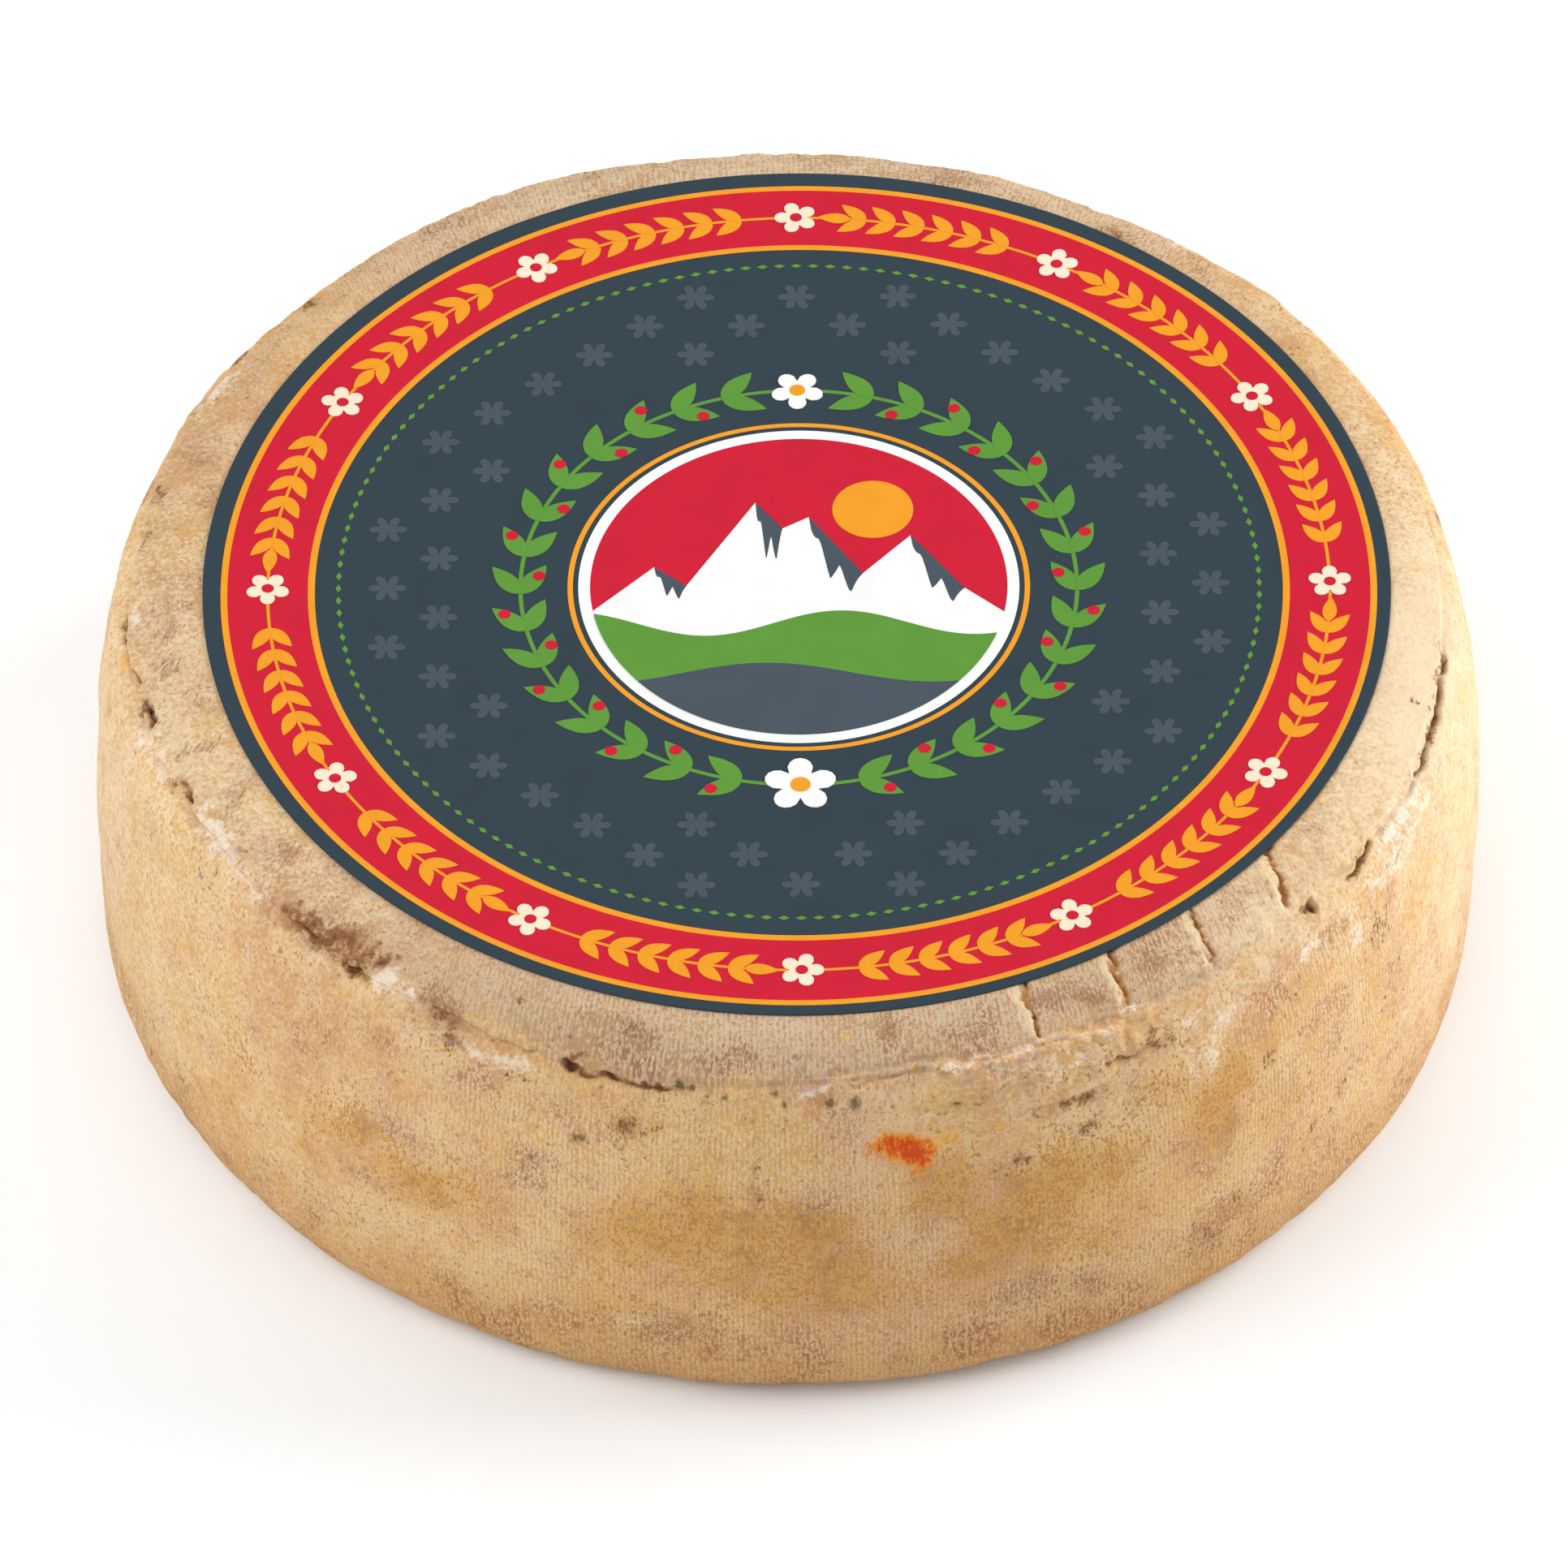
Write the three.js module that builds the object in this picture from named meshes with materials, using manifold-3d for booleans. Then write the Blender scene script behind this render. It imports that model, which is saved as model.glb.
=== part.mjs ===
// A wheel of pressed sheep's-milk cheese with a round paper label on its top face.
// Millimetres, +Z up. The origin is the middle of the flat face that the wheel rests on.
// Angles are in degrees in plan, from +X towards +Y, so -90 is the side that faces the viewer.
import * as THREE from "three";
import { mergeVertices } from "three/addons/utils/BufferGeometryUtils.js";
import Module from "manifold-3d";

const wasm = await Module();
wasm.setup();

// The wheel's main sizes
const WHEEL_RADIUS = 130; // at the belly, the widest place
const WHEEL_HEIGHT = 82;
const BELLY_HEIGHT = 36;
const FOOT_RADIUS = 122.5; // the flat face that it rests on
const FOOT_ROUND_HEIGHT = 10;
const FOOT_ROUND_RADIUS = 129.7; // where the rounded foot meets the side

// The fold left by the mould's lid, between the side and the top
const SHOULDER = { radius: 126.6, height: 70.8 };
const FOLD = { radius: 122.8, height: 78, depth: 0.7, lipRise: 1.6 };
const TOP_FLAT_RADIUS = 114.2; // the flat seat of the label
const TOP_DOME = 0.3; // how far the sloping top rim bows

// The round paper label
const LABEL = { radius: 111, thickness: 0.4, shift: { x: 1.9, y: 2.3 } };

// Straight furrows pressed into the top by a slatted board: parallel, evenly spaced, cut at the rim
const FURROW = { heading: -75, first: 15, spacing: 17.5, count: 5, width: 2.0, depth: 2.6 };
const FURROW_SPAN = { inner: 107.5, outer: 121.5 }; // radii between which a furrow shows

// Cracks and pits along the fold: plan angle, half width along the rim, extra depth
const CRACKS = [
  { angle: -175, halfWidth: 6, depth: 0.9 },
  { angle: -166.7, halfWidth: 2.5, depth: 2.0 },
  { angle: -136.5, halfWidth: 5, depth: 1.5 },
  { angle: -130, halfWidth: 3, depth: 1.3 },
  { angle: -121, halfWidth: 4, depth: 1.2 },
  { angle: -108.5, halfWidth: 3, depth: 1.8 },
  { angle: -103, halfWidth: 6, depth: 0.9 },
  { angle: -60, halfWidth: 5, depth: 1.0 },
  { angle: -39.2, halfWidth: 2.2, depth: 1.8 },
  { angle: -31, halfWidth: 4, depth: 2.0 },
  { angle: -6.5, halfWidth: 4, depth: 1.3 },
  { angle: 38, halfWidth: 6, depth: 1.2 },
  { angle: 97, halfWidth: 7, depth: 1.4 },
  { angle: 141, halfWidth: 5, depth: 1.5 },
  { angle: 170.7, halfWidth: 4, depth: 1.1 },
];

// How far a hand-made wheel is from round: waves round the rim as amplitude, count and phase
const OUT_OF_ROUND = [
  [0.2, 2, 0.4],
  [0.16, 3, 2.1],
  [0.12, 5, 4.0],
];
const SIDE_LUMPS = [
  [0.16, 7, 1.1],
  [0.14, 11, 2.9],
  [0.12, 17, 5.2],
];
const RIM_WAVES = [
  [0.3, 3, 0.7],
  [0.24, 8, 3.3],
  [0.2, 13, 1.9],
];
const FOLD_WANDER = [
  [1.1, 4, 4.05],
  [0.3, 9, 0.2],
  [0.2, 16, 2.4],
];

// How finely the round forms are faceted
const COLUMNS = 180;
const FOOT_STEPS = 5;
const SIDE_STEPS = 7;
const LABEL_SIDES = 120;

const radians = THREE.MathUtils.degToRad;
const smoothstep = THREE.MathUtils.smoothstep;

// Sum of waves round the wheel at a plan angle in radians
function waves(terms, angle) {
  return terms.reduce((sum, [size, count, phase]) => sum + size * Math.cos(count * angle + phase), 0);
}

// 1 at the middle of a crack, falling to 0 along the rim
function nearness(angle, crack) {
  const apart = Math.atan2(Math.sin(angle - radians(crack.angle)), Math.cos(angle - radians(crack.angle)));
  const along = (apart * FOLD.radius) / crack.halfWidth;
  return Math.exp(-along * along);
}

// How deep the fold is at a plan angle: its own depth, and more where the rind has cracked
function foldDepth(angle) {
  return CRACKS.reduce((depth, crack) => depth + crack.depth * nearness(angle, crack), FOLD.depth);
}

// Radius of the side at a height: widest at the belly, drawn in towards the foot and the shoulder
function sideRadius(height) {
  if (height < BELLY_HEIGHT) {
    const down = (BELLY_HEIGHT - height) / (BELLY_HEIGHT - FOOT_ROUND_HEIGHT);
    return WHEEL_RADIUS - (WHEEL_RADIUS - FOOT_ROUND_RADIUS) * down * down;
  }
  const up = (height - BELLY_HEIGHT) / (SHOULDER.height - BELLY_HEIGHT);
  return WHEEL_RADIUS - (WHEEL_RADIUS - SHOULDER.radius) * up ** 2.4;
}

// The rings of the wheel from foot to top, each as radius and height at a plan angle
function wheelRings() {
  const rings = [];
  for (let i = 0; i <= FOOT_STEPS; i++) {
    const turn = (Math.PI / 2) * (i / FOOT_STEPS);
    const radius = FOOT_RADIUS + (FOOT_ROUND_RADIUS - FOOT_RADIUS) * Math.sin(turn);
    const height = FOOT_ROUND_HEIGHT * (1 - Math.cos(turn));
    rings.push((angle) => [radius + uneven(angle, height), height]);
  }
  for (let i = 1; i <= SIDE_STEPS; i++) {
    const height = THREE.MathUtils.lerp(FOOT_ROUND_HEIGHT, SHOULDER.height, i / SIDE_STEPS);
    rings.push((angle) => [sideRadius(height) + uneven(angle, height), height]);
  }
  rings.push(...foldRings(), ...topRings());
  return rings;
}

// Unevenness of the side at a height, fading out at the flat foot
function uneven(angle, height) {
  const lumps = waves(SIDE_LUMPS, angle + 0.9 * Math.sin(height / 24));
  return (waves(OUT_OF_ROUND, angle) + lumps) * smoothstep(height, 0, FOOT_ROUND_HEIGHT);
}

// Shoulder, lower lip, bottom of the fold and upper lip
function foldRings() {
  const round = (angle) => waves(OUT_OF_ROUND, angle);
  const foldHeight = (angle) => FOLD.height + waves(FOLD_WANDER, angle);
  return [
    (angle) => [FOLD.radius + 2.5 + round(angle), foldHeight(angle) - 3.2],
    (angle) => [FOLD.radius + 0.9 + round(angle), foldHeight(angle) - 1.1],
    (angle) => [FOLD.radius - foldDepth(angle) + round(angle), foldHeight(angle)],
    (angle) => [FOLD.radius - 0.5 + round(angle), foldHeight(angle) + FOLD.lipRise],
  ];
}

// The top rim slopes up from the fold to the flat seat of the label
function topRings() {
  const edge = FOLD.radius - 0.5;
  const lipHeight = FOLD.height + FOLD.lipRise;
  const rings = [0.35, 0.7].map((share) => (angle) => {
    const reach = THREE.MathUtils.lerp(edge, TOP_FLAT_RADIUS, share);
    const radius = reach + waves(OUT_OF_ROUND, angle) * (1 - share);
    const rise = lipHeight + (WHEEL_HEIGHT - lipHeight) * Math.sin((share * Math.PI) / 2);
    const wander = (waves(FOLD_WANDER, angle) * (1 - share) + waves(RIM_WAVES, angle) * share) * (1 - share);
    return [radius, rise + wander + TOP_DOME * Math.sin(share * Math.PI) - TOP_DOME];
  });
  rings.push(() => [TOP_FLAT_RADIUS, WHEEL_HEIGHT]);
  return rings;
}

// The closed skin of the wheel: a grid of rings, with a fan over the foot and another over the top
function wheelGeometry() {
  const rings = wheelRings();
  const points = [];
  for (const ring of rings) {
    for (let column = 0; column < COLUMNS; column++) {
      const angle = (2 * Math.PI * column) / COLUMNS;
      const [radius, height] = ring(angle);
      points.push(radius * Math.cos(angle), radius * Math.sin(angle), height);
    }
  }
  const footMiddle = points.length / 3;
  points.push(0, 0, 0);
  const topMiddle = footMiddle + 1;
  points.push(0, 0, WHEEL_HEIGHT);

  const faces = [];
  const lastRing = (rings.length - 1) * COLUMNS;
  for (let column = 0; column < COLUMNS; column++) {
    const next = (column + 1) % COLUMNS;
    faces.push(footMiddle, next, column);
    faces.push(topMiddle, lastRing + column, lastRing + next);
    for (let base = 0; base < lastRing; base += COLUMNS) {
      const above = base + COLUMNS;
      faces.push(base + column, base + next, above + next);
      faces.push(base + column, above + next, above + column);
    }
  }
  const geometry = new THREE.BufferGeometry();
  geometry.setAttribute("position", new THREE.Float32BufferAttribute(points, 3));
  geometry.setIndex(faces);
  return geometry;
}

// One furrow's cutter: a long three-sided blade that lies along the furrow, edge down
function furrowCutter(offset) {
  const { width, depth } = FURROW;
  const along = new THREE.Vector2(Math.cos(radians(FURROW.heading)), Math.sin(radians(FURROW.heading)));
  const across = new THREE.Vector2(-along.y, along.x);
  // how far along the heading the furrow meets the two radii
  const reach = (radius) => Math.sqrt(radius * radius - offset * offset);
  const start = reach(FURROW_SPAN.inner);
  const length = reach(FURROW_SPAN.outer) - start;

  const blade = new THREE.Shape();
  blade.moveTo(-width / 2, depth);
  blade.lineTo(0, -depth);
  blade.lineTo(width / 2, depth);
  blade.closePath();
  const geometry = new THREE.ExtrudeGeometry(blade, { depth: length, bevelEnabled: false });
  const frame = new THREE.Matrix4().makeBasis(
    new THREE.Vector3(across.x, across.y, 0),
    new THREE.Vector3(0, 0, 1),
    new THREE.Vector3(along.x, along.y, 0),
  );
  const origin = along.clone().multiplyScalar(start).addScaledVector(across, offset);
  frame.setPosition(origin.x, origin.y, WHEEL_HEIGHT - 1.2);
  return geometry.applyMatrix4(frame);
}

// A closed geometry as a solid that can be cut
function toSolid(geometry) {
  const bare = geometry.clone();
  bare.deleteAttribute("normal");
  bare.deleteAttribute("uv");
  const merged = mergeVertices(bare, 1e-4);
  return new wasm.Manifold(
    new wasm.Mesh({
      numProp: 3,
      vertProperties: merged.attributes.position.array,
      triVerts: new Uint32Array(merged.index.array),
    }),
  );
}

// A solid as a geometry to draw
function toGeometry(solid) {
  const mesh = solid.getMesh();
  const geometry = new THREE.BufferGeometry();
  geometry.setAttribute("position", new THREE.BufferAttribute(mesh.vertProperties, 3));
  geometry.setIndex(new THREE.BufferAttribute(mesh.triVerts, 1));
  geometry.computeVertexNormals();
  return geometry;
}

// The cheese itself, one solid: the wheel with the board's furrows cut into its top rim
function cheeseWheel() {
  let wheel = toSolid(wheelGeometry());
  for (let i = 0; i < FURROW.count; i++) {
    wheel = wheel.subtract(toSolid(furrowCutter(FURROW.first + i * FURROW.spacing)));
  }
  const rind = new THREE.MeshStandardMaterial({ color: "#d2a878", roughness: 0.85, metalness: 0 });
  const mesh = new THREE.Mesh(toGeometry(wheel), rind);
  mesh.name = "cheese_wheel";
  return mesh;
}

// The paper label, a thin disc that lies on the flat top, stuck a little off centre
function paperLabel() {
  const disc = new THREE.CylinderGeometry(LABEL.radius, LABEL.radius, LABEL.thickness, LABEL_SIDES);
  disc.rotateX(Math.PI / 2);
  const paper = new THREE.MeshStandardMaterial({ color: "#3c4b54", roughness: 0.6, metalness: 0 });
  const mesh = new THREE.Mesh(disc, paper);
  mesh.position.set(LABEL.shift.x, LABEL.shift.y, WHEEL_HEIGHT + LABEL.thickness / 2);
  mesh.name = "paper_label";
  return mesh;
}

const cheese = new THREE.Group();
cheese.add(cheeseWheel(), paperLabel());

export default cheese;
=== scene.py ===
import math

import bpy
import numpy as np
from mathutils import Matrix, Vector


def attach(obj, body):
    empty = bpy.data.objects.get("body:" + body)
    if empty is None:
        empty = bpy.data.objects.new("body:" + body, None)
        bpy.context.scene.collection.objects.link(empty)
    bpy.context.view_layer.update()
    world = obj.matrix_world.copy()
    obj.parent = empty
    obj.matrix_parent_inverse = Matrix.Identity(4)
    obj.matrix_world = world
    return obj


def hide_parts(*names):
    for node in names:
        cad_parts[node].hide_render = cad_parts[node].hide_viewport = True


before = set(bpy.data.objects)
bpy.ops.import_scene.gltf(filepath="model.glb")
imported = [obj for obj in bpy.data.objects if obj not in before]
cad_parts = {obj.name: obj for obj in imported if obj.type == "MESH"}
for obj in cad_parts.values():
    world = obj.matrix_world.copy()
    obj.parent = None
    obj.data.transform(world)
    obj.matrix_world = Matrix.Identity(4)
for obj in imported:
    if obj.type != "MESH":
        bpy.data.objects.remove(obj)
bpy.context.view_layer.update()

scene = bpy.context.scene
mm = 0.001


# sRGB hex to the linear colour that a shader socket takes
def linear(hexColour):
    parts = np.array([int(hexColour[i:i + 2], 16) for i in (1, 3, 5)]) / 255
    bent = np.where(parts <= 0.04045, parts / 12.92, ((parts + 0.055) / 1.055) ** 2.4)
    return (*bent.tolist(), 1.0)


# adds one node with its settings; inputs, by name or in order, are sockets to link or plain values
def addNode(tree, kind, inputs, out=0, **settings):
    made = tree.nodes.new("ShaderNode" + kind)
    for name, value in settings.items():
        setattr(made, name, value)
    for key, value in inputs.items() if isinstance(inputs, dict) else enumerate(inputs):
        if isinstance(value, bpy.types.NodeSocket):
            tree.links.new(value, made.inputs[key])
        else:
            made.inputs[key].default_value = value
    return made.outputs[out]


# a new material with its node tree and its shader
def newMaterial(name):
    material = bpy.data.materials.new(name)
    material.use_nodes = True
    return material, material.node_tree, material.node_tree.nodes["Principled BSDF"]


# a mesh object at the origin from points in mm and arrays of faces, each with its own corner count
def meshPiece(name, points, faceArrays):
    mesh = bpy.data.meshes.new(name)
    corners = np.concatenate([faces.ravel() for faces in faceArrays]).astype(np.int32)
    sizes = np.concatenate([np.full(len(faces), faces.shape[1]) for faces in faceArrays])
    starts = np.concatenate([[0], np.cumsum(sizes)[:-1]]).astype(np.int32)
    mesh.vertices.add(len(points))
    mesh.vertices.foreach_set("co", (points * mm).astype(np.float32).ravel())
    mesh.loops.add(len(corners))
    mesh.loops.foreach_set("vertex_index", corners)
    mesh.polygons.add(len(sizes))
    mesh.polygons.foreach_set("loop_start", starts)
    mesh.update(calc_edges=True)
    piece = bpy.data.objects.new(name, mesh)
    scene.collection.objects.link(piece)
    return piece


# a closed round piece: quads between the rings of a grid, and a fan from a middle point over each end
def roundPiece(name, grid, lowMiddle, highMiddle):
    rows, columns = grid.shape[:2]
    points = np.concatenate([grid.reshape(-1, 3), [lowMiddle, highMiddle]])
    r, c = np.meshgrid(np.arange(rows - 1), np.arange(columns), indexing="ij")
    n = (c + 1) % columns
    quads = np.stack([r * columns + c, r * columns + n, (r + 1) * columns + n, (r + 1) * columns + c], 2)
    ring, after = np.arange(columns), (np.arange(columns) + 1) % columns
    last = (rows - 1) * columns
    lowFan = np.stack([np.full(columns, len(points) - 2), after, ring], 1)
    highFan = np.stack([np.full(columns, len(points) - 1), last + ring, last + after], 1)
    return meshPiece(name, points, [quads.reshape(-1, 4), lowFan, highFan])


# smooth 0 to 1 step between two edges
def ease(value, start, end):
    t = np.clip((value - start) / (end - start), 0, 1)
    return t * t * (3 - 2 * t)


# bell curve that is 1 in the middle
def bell(value, middle, half):
    return np.exp(-((value - middle) / half) ** 2)


# camera: a long lens, looking down on the wheel from the front
view = {
    "distance": 3.0,
    "elevation": 45.77,
    "roll": 0.4,
    "lens": 365.65,
    "aim": (-0.72, -7.45, 38.55),  # mm
}


def makeCamera():
    lift, tilt = math.radians(view["elevation"]), math.radians(view["roll"])
    ahead = Vector((0, math.cos(lift), -math.sin(lift)))
    right, up = Vector((1, 0, 0)), Vector((0, math.sin(lift), math.cos(lift)))
    axisX = right * math.cos(tilt) - up * math.sin(tilt)
    axisY = right * math.sin(tilt) + up * math.cos(tilt)
    place = Vector(view["aim"]) * mm - ahead * view["distance"]
    data = bpy.data.cameras.new("camera")
    data.lens, data.sensor_width = view["lens"], 36
    data.clip_start, data.clip_end = 0.05, 100
    camera = bpy.data.objects.new("camera", data)
    camera.matrix_world = Matrix((
        (axisX.x, axisY.x, -ahead.x, place.x),
        (axisX.y, axisY.y, -ahead.y, place.y),
        (axisX.z, axisY.z, -ahead.z, place.z),
        (0, 0, 0, 1),
    ))
    scene.collection.objects.link(camera)
    scene.camera = camera


makeCamera()
scene.view_settings.view_transform = "Standard"
print("camera set")


# studio: white floor, even white surround, large soft lamps at both sides, low at the front and at the back
studio = {
    "surround": 0.44,
    "floor": "#fafdff",
    "floorHalf": 4000,  # mm
    "aim": (0.0, 0.0, 0.04),
    "lamps": [
        # name, place, side length (m), watts
        ("rightLamp", (1.15, 0.32, 0.54), 0.9, 17.6),
        ("leftLamp", (-1.0, -0.18, 0.95), 1.1, 11.9),
        ("frontLamp", (-0.25, -1.35, 0.60), 1.0, 2.5),
        ("backLamp", (-0.45, 0.95, 1.25), 1.2, 3.2),
    ],
}


def makeStudio():
    world = bpy.data.worlds.new("surround")
    world.use_nodes = True
    world.node_tree.nodes["Background"].inputs["Color"].default_value = (1, 1, 1, 1)
    world.node_tree.nodes["Background"].inputs["Strength"].default_value = studio["surround"]
    scene.world = world
    for name, place, side, watts in studio["lamps"]:
        data = bpy.data.lights.new(name, "AREA")
        data.shape, data.size, data.energy = "SQUARE", side, watts
        lamp = bpy.data.objects.new(name, data)
        lamp.location = place
        lamp.rotation_euler = (Vector(studio["aim"]) - Vector(place)).to_track_quat("-Z", "Y").to_euler()
        scene.collection.objects.link(lamp)
    corners = np.array([[-1, -1, 0], [1, -1, 0], [1, 1, 0], [-1, 1, 0]])
    floor = meshPiece("floor", corners * studio["floorHalf"], [np.array([[0, 1, 2, 3]])])
    # painted board: matt white, nearly without shine
    paint, _, shader = newMaterial("matt white board")
    shader.inputs["Base Color"].default_value = linear(studio["floor"])
    shader.inputs["Roughness"].default_value = 0.9
    shader.inputs["Specular IOR Level"].default_value = 0.2
    floor.data.materials.append(paint)


makeStudio()
print("studio set")


# the cheese: sizes in mm, angles in degrees in plan from +X, -90 is the front
# reach is the distance along the profile from the fold, below it on the side and above it on the top
wheel = {
    "radius": 130.0,
    "height": 82.0,
    "bellyHeight": 36.0,
    "footRadius": 122.5,
    "footRoundHeight": 10.0,
    "footRoundRadius": 129.7,
    "shoulderRadius": 126.6,
    "shoulderHeight": 70.8,
    "shoulderBend": 65,  # degrees that the shoulder turns through
    "foldRadius": 122.8,
    "foldHeight": 78.0,
    "lipRise": 1.6,
    "flatRadius": 114.2,
    "innerRing": 8.0,  # radius where the flats' rings end
    "seam": 90.0,  # plan angle where the grid closes, at the back
    "columns": 960,
    "outOfRound": [(0.2, 2, 0.4), (0.16, 3, 2.1), (0.12, 5, 4)],
    "sideLumps": [(0.16, 7, 1.1), (0.14, 11, 2.9), (0.12, 17, 5.2)],
    "foldWander": [(1.1, 4, 4.05), (0.3, 9, 0.2), (0.2, 16, 2.4)],
    "wanderSpan": 11.5,  # reach over which the fold wanders
    # straight parallel furrows from the pressing board: heading, first, spacing
    "furrowHeading": -75.0,
    "furrowFirst": 15.0,
    "furrowSpacing": 17.5,
    "furrowDepths": [1.05, 1.1, 0.95, 1.1, 0.3],
    "furrowWidth": 0.68,
    # cracks as lines of (angle, reach), with depth and half width
    "cracks": [
        ([(-183, 1), (-180.5, 0.2), (-177.9, -0.5), (-174.5, 0.6), (-172, 1.4), (-170.5, 1.8)], 1.2, 0.55),
        ([(-168.3, 1.9), (-166.9, 1.7), (-165.4, 1.5)], 2, 0.8),
        ([(-157.4, 2.2), (-156, 2.2), (-154.9, 2)], 1.4, 0.7),
        ([(-139, 0.9), (-136.6, 1.4), (-135.1, 1.5), (-133.8, 1.7)], 1.4, 0.7),
        ([(-131.4, 0), (-130.1, 0.6), (-129.2, 0.5)], 1.3, 0.8),
        ([(-122.8, 1.2), (-121, 0.5), (-119.4, 0.2)], 1, 0.9),
        ([(-119, 0.6), (-117.1, 0.8), (-115.2, 0), (-113.5, 0), (-112.2, 0.7)], 0.8, 0.45),
        ([(-109.4, 0.6), (-108.9, 0.2)], 2, 0.8),
        ([(-109, 0.3), (-107.4, -0.9), (-105.5, -0.2), (-102.5, -1.1), (-100.1, -1.1)], 1.4, 0.5),
        ([(-100.1, -1.1), (-98, -2), (-96.8, -3.4)], 0.6, 0.5),
        ([(-84.8, -1.3), (-80.9, -0.8), (-79.4, -0.5), (-76.5, -1.2), (-73.9, -0.3), (-71.1, 0.5),
          (-68.4, -0.5), (-64.9, -0.8), (-61, 0.1)], 0.4, 0.45),
        ([(-79.3, -6.5), (-75.9, -7.2), (-71.8, -10.6),
          (-69.3, -11.6), (-66.4, -12), (-63.3, -12.1)], 0.45, 0.7),
        ([(-66.5, -23.1), (-65.7, -21.5), (-64.2, -18.7), (-62.8, -16.7)], 0.6, 0.6),
        ([(-63, -6.7), (-60.3, -7.6), (-58.4, -7.5), (-56.8, -7.8)], 1, 0.6),
        ([(-65.4, -5.9), (-64.6, -6.2)], 0.8, 0.55),
        ([(-74.1, -6.7), (-73.5, -7.2)], 0.6, 0.5),
        ([(-67.4, -7.2), (-66.8, -7.4)], 0.6, 0.5),
        ([(-39.8, -1.4), (-39.2, -1.2), (-39, -2.2)], 1.6, 0.75),
        ([(-29.5, -1.3), (-30.7, -1.5), (-32, -1.8), (-33.3, -2.2), (-34.4, -2.5)], 1.4, 0.55),
        ([(-5.2, 1.2), (-6.4, -0.9), (-9.9, -1), (-12.5, -1.2), (-15.3, -1.6), (-17.1, -1),
          (-19.1, -1.6), (-20, -1.8)], 1.4, 0.55),
        ([(-20, -1.8), (-23.4, -1.3), (-27.8, -1.1), (-29.5, -1.3)], 0.6, 0.5),
        ([(35, -0.4), (38, 0.3), (41, -0.2)], 1.3, 0.8),
        ([(60, 0.4), (64, -0.6), (69, 0.2)], 1, 0.6),
        ([(93, 0.2), (97, -0.5), (101, 0.1)], 1.4, 0.9),
        ([(118, 0.3), (121, -0.5), (126, -0.2)], 1.1, 0.6),
        ([(138.6, -0.3), (141, 0.4), (143, -0.1)], 1.5, 0.8),
        ([(171.6, 0.8), (169.6, 0.5)], 1.2, 0.8),
    ],
    # raised wrinkles: line, height, half width
    "wrinkles": [
        ([(-95.4, -17), (-94, -13.6), (-93, -11.2)], 0.6, 0.7),
        ([(-176, 1.8), (-172.5, 2.6)], 0.5, 0.7),
        ([(-161.7, 2.8), (-159.8, 2.5), (-158.1, 2.6)], 0.6, 0.6),
        ([(-160, -1.4), (-152, -1.2), (-146, -1.3)], 0.35, 0.9),
    ],
    # a crumbly roll under the fold at the front right: angle and reach of its lower edge
    "rollFoot": [(-84, -3), (-79.3, -6), (-75.9, -6.9), (-71.8, -10),
                 (-66.4, -11.4), (-63, -9), (-56, -6)],
    # where the ribs are rubbed off below the roll: angle, reach, half length, half height, strength
    "barePatch": [(-77, -10, 9, 8, 1), (-70, -15, 10, 8, 1),
                  (-62, -15, 9, 8, 1), (-55, -11, 8, 7, 0.8)],
    # how crumbly the fold is: angle and share
    "crumbling": [(-270, 0.6), (-180, 0.6), (-150, 0.8), (-120, 0.6), (-112, 0.3), (-90, 0.3), (-82, 0.9),
                  (-58, 1), (-45, 0.6), (0, 0.5), (90, 0.6)],
}


# heights on a random grid that closes round the wheel, eased between grid points, from -1 to 1
def ringNoise(turn, rise, around, upward, seed):
    heights = np.random.default_rng(seed).uniform(-1, 1, (upward + 2, around))
    across, along = (turn % 1) * around, np.clip(rise, 0, 1) * upward
    i, j = np.floor(across).astype(int), np.floor(along).astype(int)
    p, q = ease(across - i, 0, 1), ease(along - j, 0, 1)
    low = heights[j, i % around] * (1 - p) + heights[j, (i + 1) % around] * p
    high = heights[j + 1, i % around] * (1 - p) + heights[j + 1, (i + 1) % around] * p
    return low * (1 - q) + high * q


# sum of cosine waves round the wheel: amplitude, count, phase
def waves(terms, angle):
    return sum(size * np.cos(count * angle + phase) for size, count, phase in terms)


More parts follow.
